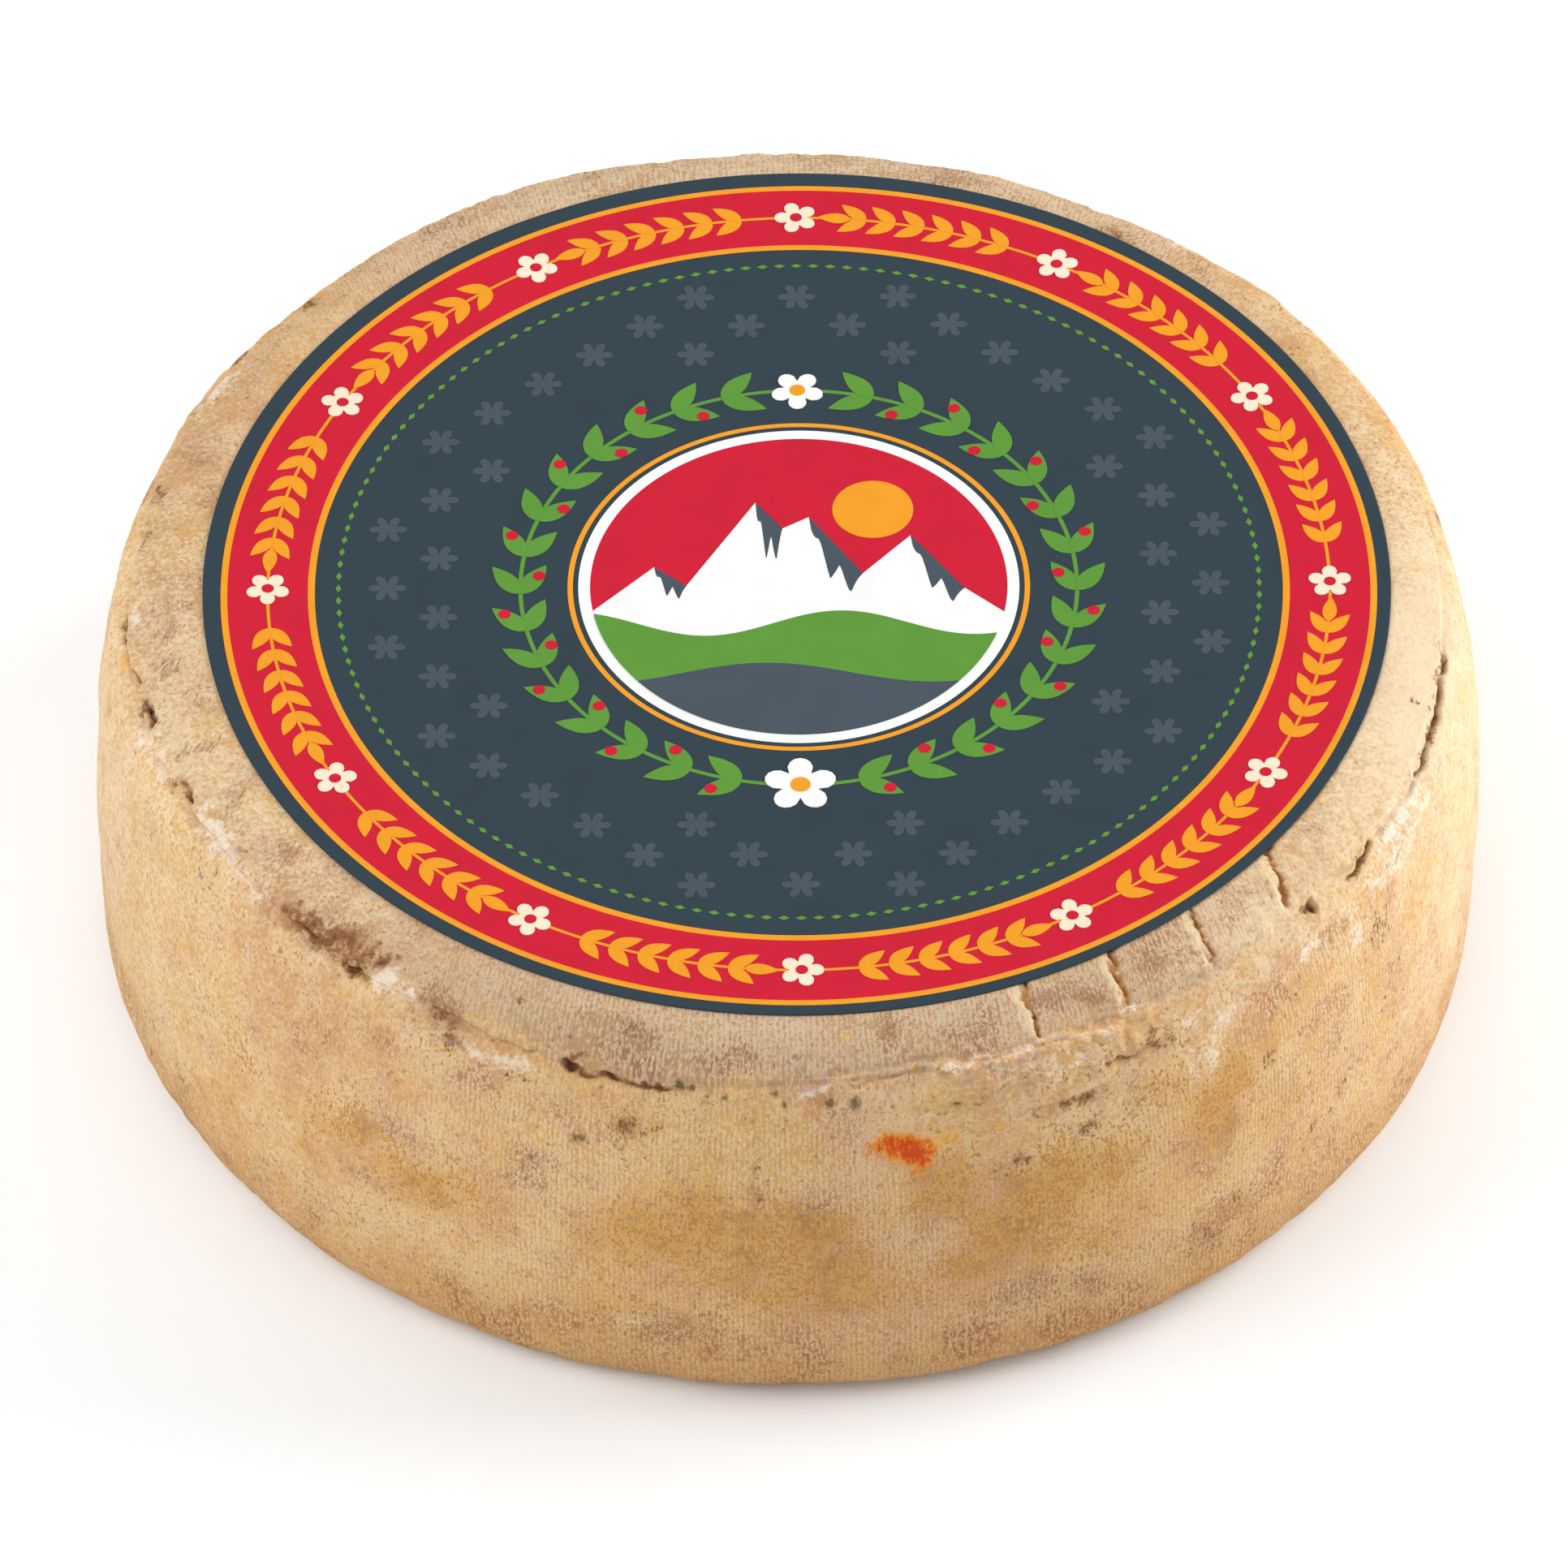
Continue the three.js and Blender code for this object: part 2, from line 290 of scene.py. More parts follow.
# half profile from the middle of the foot to the middle of the top, as radius and height: flat foot,
# a quarter ellipse, the bellied side, an arc in to the fold, a steep lip and the sloping rim;
# with it come the reach of its points and of the foot's edge
def wheelProfile():
    w = wheel
    foot = np.stack([np.linspace(w["innerRing"], w["footRadius"], 12), np.zeros(12)], 1)
    turn = np.linspace(0, np.pi / 2, 40)[1:]
    heel = np.stack([
        w["footRadius"] + (w["footRoundRadius"] - w["footRadius"]) * np.sin(turn),
        w["footRoundHeight"] * (1 - np.cos(turn)),
    ], 1)
    rise = np.linspace(w["footRoundHeight"], w["shoulderHeight"], 90)[1:]
    down = np.clip((w["bellyHeight"] - rise) / (w["bellyHeight"] - w["footRoundHeight"]), 0, None)
    up = np.clip((rise - w["bellyHeight"]) / (w["shoulderHeight"] - w["bellyHeight"]), 0, None)
    side = np.stack([
        w["radius"] - (w["radius"] - w["footRoundRadius"]) * down ** 2
        - (w["radius"] - w["shoulderRadius"]) * up ** 2.4,
        rise,
    ], 1)
    bend = math.radians(w["shoulderBend"])
    turn = np.linspace(0, bend, 20)[1:]
    reachIn = (w["shoulderRadius"] - w["foldRadius"]) / (1 - math.cos(bend))
    reachUp = (w["foldHeight"] - 0.1 - w["shoulderHeight"]) / math.sin(bend)
    shoulder = np.stack([
        w["shoulderRadius"] - reachIn * (1 - np.cos(turn)),
        w["shoulderHeight"] + reachUp * np.sin(turn),
    ], 1)
    fold = np.array([[w["foldRadius"] - 0.35, w["foldHeight"] + 0.15]])
    share = np.linspace(0, 1, 40)
    lipHeight = w["foldHeight"] + w["lipRise"]
    rim = np.stack([
        w["foldRadius"] - 0.6 + (w["flatRadius"] - w["foldRadius"] + 0.6) * share,
        lipHeight + (w["height"] - lipHeight) * np.sin(share * np.pi / 2),
    ], 1)
    top = np.stack([np.linspace(w["flatRadius"], w["innerRing"], 12)[1:], np.full(11, w["height"])], 1)
    line = np.concatenate([foot, heel, side, shoulder, fold, rim, top])
    length = np.concatenate([[0], np.cumsum(np.hypot(*np.diff(line, axis=0).T))])
    reach = length - length[len(foot) + len(heel) + len(side) + len(shoulder)]
    return line, reach, reach[len(foot) - 1]


# rows of the grid as reach: close together at the fold and on the rim, wide apart on the flats
def rowReach(reach, footEdge):
    return np.concatenate([
        [reach[0], reach[6], reach[10]],
        np.linspace(footEdge, footEdge + 14, 11),
        np.linspace(footEdge + 15.6, -13.5, 24),
        np.linspace(-12.8, -3, 20),
        np.linspace(-2.7, 2.7, 19),
        np.linspace(3.1, 12.4, 19),
        [13.4, 15.5, 22, 60, reach[-1]],
    ])


# plan angles of the columns: closest where the furrows are, close along the front, wider at the back
def columnAngles():
    fine = np.linspace(wheel["seam"] - 360, wheel["seam"], 7201)
    density = 1 + 1.3 * ease(fine, -190, -176) * (1 - ease(fine, -4, 10))
    density = density + 2.6 * ease(fine, -74, -70) * (1 - ease(fine, -36, -30))
    share = np.concatenate([[0], np.cumsum((density[1:] + density[:-1]) / 2)])
    return np.interp(np.linspace(0, 1, wheel["columns"] + 1), share / share[-1], fine)


# degrees from one plan angle, the short way round
def degreesFrom(angles, middle):
    return (angles - middle + 180) % 360 - 180


# distance in mm from every grid point to a line of (angle, reach) points on the unrolled side
def lineDistance(angles, reach, line):
    best = np.full(np.broadcast(angles, reach).shape, 1e9)
    perDegree = math.radians(1) * wheel["foldRadius"]
    points = np.array(line, float)
    for (a0, s0), (a1, s1) in zip(points[:-1], points[1:]):
        px, py = degreesFrom(angles, a0) * perDegree, reach - s0
        dx, dy = (a1 - a0) * perDegree, s1 - s0
        t = np.clip((px * dx + py * dy) / (dx * dx + dy * dy), 0, 1)
        best = np.minimum(best, np.hypot(px - t * dx, py - t * dy))
    return best


# soft oval spots on the unrolled side, added up: angle, reach, half length, half height, strength
def spots(angles, reach, places):
    total = np.zeros(np.broadcast(angles, reach).shape)
    perDegree = math.radians(1) * wheel["radius"]
    for angle, at, halfLong, halfHigh, strength in places:
        along = degreesFrom(angles, angle) * perDegree / halfLong
        total = total + strength * np.exp(-(along ** 2 + ((reach - at) / halfHigh) ** 2))
    return np.clip(total, 0, 1)


# a few marks of one sort at seeded places round the back
def backMarks(seed, count, reachSpan, longSpan, highSpan, strengthSpan):
    rng = np.random.default_rng(seed)
    spans = [(12, 168), reachSpan, longSpan, highSpan, strengthSpan]
    return np.stack([rng.uniform(low, high, count) for low, high in spans], 1).tolist()


# where the rind's colour changes: angle, reach, half length, half height, strength
marks = {
    # oily golden patches where the cloth lay flat
    "ochre": [
        (-96, -34, 17, 11, 0.95), (-104, -37, 8, 9, 0.5), (-88, -34, 9, 10, 0.6), (-78, -26, 8, 8, 0.9),
        (-74, -41, 7, 8, 0.5), (-69, -32, 10, 9, 0.85), (-67.5, -26, 5, 7, 0.5), (-62, -31, 6, 8, 0.7),
        (-54, -29, 7, 10, 0.95), (-51, -24, 5, 6, 0.7), (-118, -39, 11, 8, 0.55), (-127, -36, 8, 8, 0.55),
        (-131, -36, 6, 6, 0.45), (-122, -42, 7, 5, 0.5), (-58.7, -17, 5, 4, 0.55), (-46, -40, 9, 9, 0.4),
        (-142, -40, 10, 10, 0.3), (-70, -48, 22, 9, 0.58), (-88, -50, 20, 8, 0.66),
        (-104, -54, 16, 7, 0.35), (-60, -44, 8, 7, 0.25),
    ] + backMarks(11, 7, (-52, -18), (8, 16), (6, 12), (0.5, 1)),
    # pale bloom on the lips of the fold
    "bloom": [
        (-164.6, 0.3, 3, 1.8, 1), (-161.6, 0.4, 3.6, 1.7, 1), (-158.8, 1.4, 3, 1.5, 0.9),
        (-152.8, 1.6, 4, 2.2, 0.9), (-150, 1.4, 4.5, 2.4, 0.8), (-146.6, 0.4, 4, 1.8, 0.6),
        (-143, -1, 6, 2, 0.6), (-127.3, 1, 1.5, 2, 1), (-126.6, -0.8, 2.2, 1.4, 1),
        (-124.4, -0.2, 2.6, 1, 0.8), (-117, -2, 4.5, 1.4, 0.7), (-113.6, -2.8, 4.5, 1.8, 0.7),
        (-87, -2.2, 5, 1.2, 0.7), (-54, -5, 5, 2, 0.5), (-26.3, -6.8, 7, 5, 0.55), (-22, -1.8, 6, 2.2, 0.6),
        (-26, -1.6, 6, 2.2, 0.6), (-31.4, -8.7, 3.6, 3.4, 0.7), (-35.2, -11, 3.2, 5, 0.65),
        (-40.9, -8.2, 3.6, 2.4, 0.75), (-44.1, -8.4, 2, 1.8, 0.7), (-51.5, -11, 5.5, 4, 0.6),
        (-53.7, -15.8, 4.5, 4, 0.5), (-20, -6, 6, 3, 0.5), (-178, 1.4, 5, 1.2, 0.8),
        (-72, -2.4, 7, 1.6, 0.45), (-66, -4, 7, 2.4, 0.35), (-103, -60, 5, 2, 0.4), (-84, -58, 6, 2.4, 0.4),
        (-75, 1.2, 5, 1.1, 0.6), (-70, 1, 6, 1.1, 0.65), (-64.5, 0.8, 6, 1.1, 0.65),
        (-60, 0.2, 4, 1.2, 0.5),
    ] + backMarks(12, 9, (-9, 1), (3, 10), (1.2, 3.5), (0.5, 1)),
    # brown stains in the dents and cracks
    "brown": [
        (-137.5, 1.4, 4, 1.9, 1), (-134.4, 2.6, 5, 2.3, 1.1), (-131.6, 4.1, 4.8, 2.4, 1),
        (-128.6, 3.6, 4, 2.2, 0.85), (-130.2, 0.4, 3, 1.5, 1), (-121.4, 0.9, 4.4, 1.9, 1),
        (-119.3, -1.6, 2.4, 3, 0.8), (-113.3, -5.4, 2.4, 1.6, 0.7), (-148.9, -4.2, 5, 3.5, 0.5),
        (-146.9, 2.4, 4, 2.6, 0.6), (-167, 2, 3.4, 1.8, 0.8), (-61, -7.2, 4.6, 1.8, 0.8),
        (-58.4, -7.5, 3, 2.6, 1), (-65.8, -12.2, 5, 1.6, 0.9), (-75, -7.6, 4, 1.2, 0.6),
        (-104.4, -9.9, 2.6, 1.8, 0.6), (-101.6, -10.7, 4, 1.4, 0.6), (-32, -17, 5, 5, 0.5),
        (-32, -1.9, 4, 1.5, 0.8), (-64.6, -20, 1.6, 3.8, 0.8), (-39.2, -1.6, 2, 1.8, 1),
        (-37, 3.4, 2.6, 2.6, 0.5), (-109, 0.4, 2, 1.2, 0.9), (-46.6, -24, 2.6, 2.2, 0.8),
        (-38.2, -48, 2.4, 3, 0.6), (-43.1, -13.6, 4, 4, 0.2), (-52.4, -56.7, 7, 5, 0.35),
        (-42.2, -51.9, 5, 5, 0.4), (-31, -35.9, 5, 8, 0.4), (-12, -1.2, 14, 1.2, 0.6), (-13, 4, 3, 2, 0.3),
        (171, 1, 4, 1.8, 0.8), (-71, -22, 6, 3, 0.5), (-178, -0.2, 8, 1.2, 0.6), (-156, 2.2, 3.4, 1.4, 0.7),
        (-70.8, -21.6, 2, 1.8, 0.9), (-69.9, -23, 1.8, 1.3, 0.8),
    ] + backMarks(13, 12, (-16, 8), (2, 6), (1.4, 3.5), (0.5, 1)),
    # clusters of dark strokes along the ribs
    "stroke": [
        (-175.5, 7.4, 2.6, 3, 0.8), (-170.4, 9, 4, 3, 0.9), (-165.9, 12, 3, 3, 0.5),
        (-160.2, 11, 3.6, 2.8, 1), (-160, 5.8, 3, 2, 0.6), (-152.8, 8, 3.5, 2.8, 0.8),
        (-144.1, 10.2, 4.4, 3.2, 1), (-138.4, 14, 4, 2, 0.6), (-133, 4.6, 6, 3, 1),
        (-121, 3.4, 5, 2.4, 0.7), (-104, 8, 5, 3.5, 0.7), (-95, 5, 9, 3, 0.6), (-81, 12, 1.8, 3.5, 1),
        (-74, 7, 5, 4, 0.6), (-66, 9, 5, 3.5, 0.9), (-63, 6, 2.6, 2, 0.9), (-56, 8, 5, 3.5, 0.7),
        (-46, 9, 5, 3, 0.5), (-104, -10, 6, 4, 0.6), (-100, -62, 12, 6, 0.6), (-52, -57, 10, 7, 0.45),
        (-68, -60, 14, 6, 0.5), (-112, -26, 6, 6, 0.4), (-40, -30, 8, 12, 0.3),
    ] + backMarks(18, 12, (-50, 12), (3, 7), (2.5, 6), (0.5, 1)),
    # grey-green mould specks
    "mould": [
        (-102.3, -0.6, 1.2, 1, 0.9), (-101.1, -0.5, 1, 0.9, 0.8), (-99.6, -0.8, 1.1, 1.1, 1),
        (-98.7, -0.7, 0.9, 1, 1), (-97.3, -2.2, 0.9, 0.9, 0.8), (-95.7, -2.2, 1.1, 1.1, 0.8),
        (-91.2, -1.4, 0.9, 1.2, 0.9), (-90.3, -3.4, 1.1, 1.4, 0.8), (-86.5, -4.2, 1.2, 1.4, 1),
        (-84.3, -4.5, 1.1, 1.5, 1), (-107.8, -16, 1.4, 0.9, 1.4), (-92.7, -17.1, 1.5, 1.2, 1.5),
        (-94.8, -17.1, 1.4, 1, 1.1), (-111.7, -23.2, 1.6, 0.9, 0.6), (-65.4, -19.4, 1.5, 1.3, 1.3),
        (-76, -7.2, 1.6, 0.9, 0.8), (-104.5, 9.5, 1.1, 1.2, 0.8), (-109.8, 5.2, 1, 1.1, 0.7),
        (-98.4, -33.5, 1.4, 1, 1.1), (-92.2, -24.2, 1.1, 1.5, 1), (-73.6, 0.4, 1.6, 0.8, 0.6),
        (-115.2, 9, 1.2, 1.4, 0.8), (-131.6, -2.4, 1, 1, 0.7),
    ] + backMarks(14, 16, (-30, 3), (0.9, 1.6), (0.8, 1.4), (0.6, 1)),
    # one orange-red smear with a yellow halo, and small yellow dots
    "rust": [
        (-81.4, -13.4, 3.4, 2, 1), (-79.9, -15.6, 3, 2.4, 0.95), (-79.2, -18.6, 2.4, 2.8, 0.55),
        (-83.4, -14.6, 2.2, 1, 0.5), (-81.2, -15.8, 2.4, 1.8, 0.6), (-130.3, -17.7, 0.7, 0.8, 0.7),
        (-79.1, -0.4, 0.9, 0.7, 0.5), (-72.1, -13.5, 0.9, 0.8, 0.45),
    ],
    "gold": [
        (-77.5, -14.8, 4.4, 2.2, 0.85), (-79.1, -0.4, 1.2, 1, 1), (-72.1, -13.5, 1.4, 1.3, 1),
        (-84.8, 9.2, 0.9, 0.9, 0.9), (-91.9, -16.4, 0.9, 0.9, 0.9), (-117.4, -29, 1.6, 0.8, 0.6),
        (-174.5, -1, 4, 1.4, 0.8), (-157.5, 0.6, 5, 1.4, 0.6), (-118, 4, 8, 4, 0.4),
    ] + backMarks(15, 6, (-40, 4), (0.9, 2.6), (0.8, 1.6), (0.6, 1)),
    # chalky areas, drier and paler than the rest; the broad pale fields at the right side, near -8 degrees,
    # are painted highlight standing in for the glare of the right lamp
    "chalkAndHighlight": [
        (-8, -30, 46, 44, 0.65), (-8, 6, 46, 12, 0.8), (172, -34, 40, 40, 0.4), (-166, -30, 44, 44, 0.4),
        (-150, 7, 50, 10, 0.35), (-42, 3, 24, 12, 0.55), (90, 8, 90, 9, 0.22),
    ] + backMarks(17, 4, (-50, -10), (16, 34), (14, 26), (0.3, 0.6)),
    # violet-grey bloom in the fold at the front
    "mauve": [
        (-87.1, -1.4, 5, 0.9, 1), (-70.5, -1.5, 1.6, 1, 0.9), (-69.1, -1.8, 1.4, 1, 0.9),
        (-76.5, -1.1, 1.2, 0.9, 0.9), (-75.2, -1.4, 1.2, 0.9, 0.8), (-66, 0.6, 5, 1.6, 0.6),
        (-62, 2.4, 4, 2, 0.4), (-88, 6, 9, 3, 0.3),
    ] + backMarks(16, 3, (-3, 2), (3, 6), (0.8, 1.6), (0.5, 0.9)),
}


# the rind: the half profile carried round the axis, each point pushed out along the profile's normal
# by relief and in by cracks and furrows
def makeRind():
    w = wheel
    line, lineReach, footEdge = wheelProfile()
    reach = rowReach(lineReach, footEdge)[:, None]
    edges = columnAngles()
    angles = edges[:-1][None, :]
    theta = np.radians(angles)
    turn = (angles - w["seam"]) / 360
    rise = (reach - lineReach[0]) / (lineReach[-1] - lineReach[0])

    # noise by its grid steps round the wheel and up the profile, and noise that is alike all the way up
    def rough(around, upward, seed):
        return ringNoise(turn, rise, around, upward, seed)

    def rounds(around, seed):
        return ringNoise(turn, rise * 0, around, 1, seed)

    # radius and height where the profile has a reach
    def onProfile(at):
        return np.stack([np.interp(at, lineReach, line[:, k]) for k in (0, 1)])

    # the profile slides along itself near the fold, so that the fold is no clean line
    crumbling = np.interp(angles, *np.array(w["crumbling"], float).T)
    slip = rounds(120, 30) + 0.6 * rounds(380, 31)
    along = reach + slip * (0.35 + 0.65 * crumbling) * bell(reach, 0, 4)
    radius, height = onProfile(along)
    # outward normal of the profile, from its slope half a millimetre to each side
    slopeR, slopeZ = onProfile(along + 0.5) - onProfile(along - 0.5)
    size = np.hypot(slopeR, slopeZ)
    outR, outZ = slopeZ / size, -slopeR / size

    # shares by reach: past the foot's edge, on the side, off both flats, and short of the label's middle
    offFoot = ease(reach, footEdge, footEdge + 12)
    onSide = offFoot * (1 - ease(reach, 8, 12))
    offFlat = offFoot * (1 - ease(reach, 9.5, 11.5))
    nearRim = 1 - ease(reach, 16, 18)

    # unevenness of the whole form, as in the solid
    lumpAngle = theta + 0.9 * np.sin(height / 24)
    belowLip = height < w["foldHeight"] + 1
    swell = (waves(w["outOfRound"], theta) + waves(w["sideLumps"], lumpAngle) * belowLip) * onSide
    nearFold = np.cos(np.clip(reach / w["wanderSpan"], -1, 1) * np.pi / 2)
    wander = waves(w["foldWander"], theta) * np.clip(nearFold, 0, 1) ** 1.5

    # hand-pressed lumps, small pimples, and crumbs along the fold
    relief = 0.22 * rough(38, 9, 1) + 0.12 * rough(110, 26, 2) + 0.05 * rough(330, 80, 3)
    rollFoot = np.interp(angles, *np.array(w["rollFoot"], float).T)
    roll = ease(reach, rollFoot - 1.4, rollFoot + 1.4) * (1 - ease(reach, -1.6, 0.4))
    roll = roll * ease(angles, -84, -79) * (1 - ease(angles, -62, -56))
    crumbly = np.clip(0.45 + rough(40, 20, 4), 0, 1) * bell(reach, -1.6, 3)
    crumbly = np.maximum(crumbly * crumbling, 0.75 * roll)
    crumbs = 0.7 * rough(240, 120, 5) + 0.5 * rough(520, 250, 6)
    # the roll fills the fold in lumps
    onRoll = ease(angles, -96, -87) * (1 - ease(angles, -60, -54))
    lumps = np.clip(0.8 + 0.8 * rough(170, 90, 32), 0, 1.5) * bell(reach, -0.7, 1.3)
    lumps = 1.1 * lumps - 0.55 * bell(reach, 1.5, 0.9)
    relief = relief + crumbly * crumbs + 0.45 * roll + onRoll * lumps
    # the lip of the rim rolls over the fold in places
    rolled = np.clip(0.3 + rounds(34, 10), 0, 1) * (1 - onRoll)
    relief = relief + 0.45 * rolled * bell(reach, 1.3, 0.9)

    # the fold itself: a shallow groove that comes and goes, deeper at the left, then each crack and wrinkle
    groove = 0.22 + 0.2 * ease(-np.cos(theta), 0.5, 0.9) + 0.5 * rounds(52, 7) + 0.25 * rounds(190, 17)
    wavy = 0.5 * rounds(150, 18)
    cavity = np.clip(groove, 0, 0.8) * (1 - 0.85 * onRoll) * bell(reach - 0.2 + wavy, 0, 0.6)
    crackReach = reach + (0.4 * rough(230, 110, 8) + 0.22 * rough(560, 260, 27))
    crackAngles = angles + 0.5 * rough(260, 120, 28) / (math.radians(1) * w["foldRadius"])
    torn = np.clip(0.7 + 0.7 * rough(330, 60, 29), 0.4, 1.2)
    ragged = 1 + 0.5 * rough(420, 200, 36)
    for path, depth, half in w["cracks"]:
        far = lineDistance(crackAngles, crackReach, path) * ragged
        cavity = np.maximum(cavity, depth * torn ** 0.5 * bell(far, 0, half))
        relief = relief + 0.22 * depth * torn * bell(far, 1.9 * half, 0.7)
    for path, rising, half in w["wrinkles"]:
        relief = relief + rising * bell(lineDistance(angles, reach, path), 0, half)

    # furrows: a narrow cut with a raised lip on its left, from the fold to under the label
    heading = math.radians(w["furrowHeading"])
    plan = radius * (np.cos(theta) * -math.sin(heading) + np.sin(theta) * math.cos(heading))
    ahead = np.cos(theta - heading) > 0
    crooked = 0.5 * rough(900, 120, 9) + 0.5 * rough(300, 50, 19) + 0.4 * rough(700, 520, 33)
    cutWidth = w["furrowWidth"] * (1 + 0.5 * rough(500, 330, 34))
    cutDepth = 0.85 + 0.45 * rough(300, 220, 35)
    onRim = ease(reach, 0.6, 3) * nearRim * ahead
    furrow, lip = np.zeros_like(plan), np.zeros_like(plan)
    for k, depth in enumerate(w["furrowDepths"]):
        off = plan - (w["furrowFirst"] + k * w["furrowSpacing"]) + crooked
        furrow = np.maximum(furrow, depth * cutDepth * onRim * np.exp(-np.abs(off / cutWidth) ** 2.5))
        lip = np.maximum(lip, depth * onRim * bell(off, -1.8, 1))
    relief = relief + 0.34 * lip

    # the foot's edge is chipped
    chips = 0.55 * rounds(170, 37) + 0.35 * rough(420, 90, 38)
    chips = np.minimum(chips, 0.25) * bell(reach - footEdge, 3, 5)

    push = relief * offFlat - (cavity + furrow) * offFoot * nearRim
    around = radius + swell + chips + push * outR
    above = height + wander + push * outZ
    grid = np.stack([around * np.cos(theta), around * np.sin(theta), above], 2)
    piece = roundPiece("cheese_rind", grid, [0, 0, 0], [0, 0, w["height"]])

    # cloth map in mm, across and along the threads: upright on the side, fanning out from behind on the flats
    rows, columns = around.shape
    r, c = np.meshgrid(np.arange(rows - 1), np.arange(columns), indexing="ij")
    closed = np.concatenate([grid, grid[:, :1]], 1)
    flatX, deep = closed[..., 0], closed[..., 1]
    fan = flatX * 265 / (150 + np.hypot(deep, 20))
    upright = np.broadcast_to(np.radians(edges)[None, :] * w["radius"], fan.shape)
    level = np.broadcast_to(reach, fan.shape)
    isSide = ((reach[:-1, 0] > footEdge + 4) & (reach[1:, 0] < 0.3))[r]
    corners = ((0, 0), (0, 1), (1, 1), (1, 0))
    threads = [
        np.stack([np.where(isSide, side[r + i, c + j], flat[r + i, c + j]) for i, j in corners], 2)
        for side, flat in ((upright, fan), (level, deep))
    ]
    ends = np.zeros((2 * columns * 3, 2))
    cloth = np.concatenate([np.stack(threads, 3).reshape(-1, 2), ends])
    layer = piece.data.uv_layers.new(name="cloth")
    layer.data.foreach_set("uv", cloth.astype(np.float32).ravel())

    # colour fields, one number a point; the map is bent first so that no spot is a plain oval
    perDegree = math.radians(1) * w["radius"]
    bentAngles = angles + (2.6 * rough(90, 22, 21) + 1.1 * rough(300, 70, 22)) / perDegree
    bentReach = reach + 2.2 * rough(80, 24, 23) + 0.9 * rough(280, 80, 24)
    fields = {}
    for name, places in marks.items():
        bent = 0.3 if name in ("mould", "gold", "rust") else 1  # these keep nearer to the places given
        atAngles, atReach = angles * (1 - bent) + bentAngles * bent, reach * (1 - bent) + bentReach * bent
        fields[name] = spots(atAngles, atReach, places)
    # painted shade: the depth of the fold's groove and of the cracks, by which the rind's colour darkens to
    # brown and dark brown
    fields["cavity"] = np.clip(cavity / 1.2, 0, 1)
    # painted shade in the furrows' cuts, by their depth
    fields["furrow"] = np.clip(furrow, 0, 1)
    # painted highlight on the furrows' raised lips
    fields["lip"] = np.clip(lip, 0, 1)
    # the rim is greyer than the side, most of all at the front and the back
    frontBack = np.abs(np.sin(theta))
    unevenEdge = reach + 2.6 * rough(70, 30, 25) + 1.2 * rough(260, 100, 26)
    fields["rim"] = ease(unevenEdge, -2.4, 3.2) * (0.3 + 0.55 * ease(frontBack, 0.55, 0.95))
    # darker and browner towards the foot: partly the rind's own colour, partly painted shade where the lower
    # side gets little light
    fields["foot"] = np.broadcast_to(1 - ease(reach, footEdge + 6, footEdge + 34), around.shape)
    # the ribs show best along the front; they are worn away at the fold, at the left and at the rim's ends
    plainLeft = 1 - 0.75 * ease(np.cos(np.radians(angles - 188)), 0.45, 0.85)
    plainRight = 1 - 0.5 * ease(np.cos(np.radians(angles - 15)), 0.7, 0.95)
    worn = ease(reach, -0.6, 1.2) * (1 - ease(frontBack, 0.25, 0.8))
    bare = spots(bentAngles, bentReach, w["barePatch"])
    atFold = np.clip(1.3 * crumbling * bell(reach, -3, 4.5) + roll + 1.2 * bare, 0, 1)
    fields["ribs"] = plainLeft * plainRight * (1 - worn) * (1 - 0.9 * atFold)
    for name, values in fields.items():
        store = piece.data.attributes.new(name, "FLOAT", "POINT")
        store.data.foreach_set("value", np.concatenate([values.ravel(), [0, 0]]).astype(np.float32))
    piece.data.shade_smooth()
    return piece


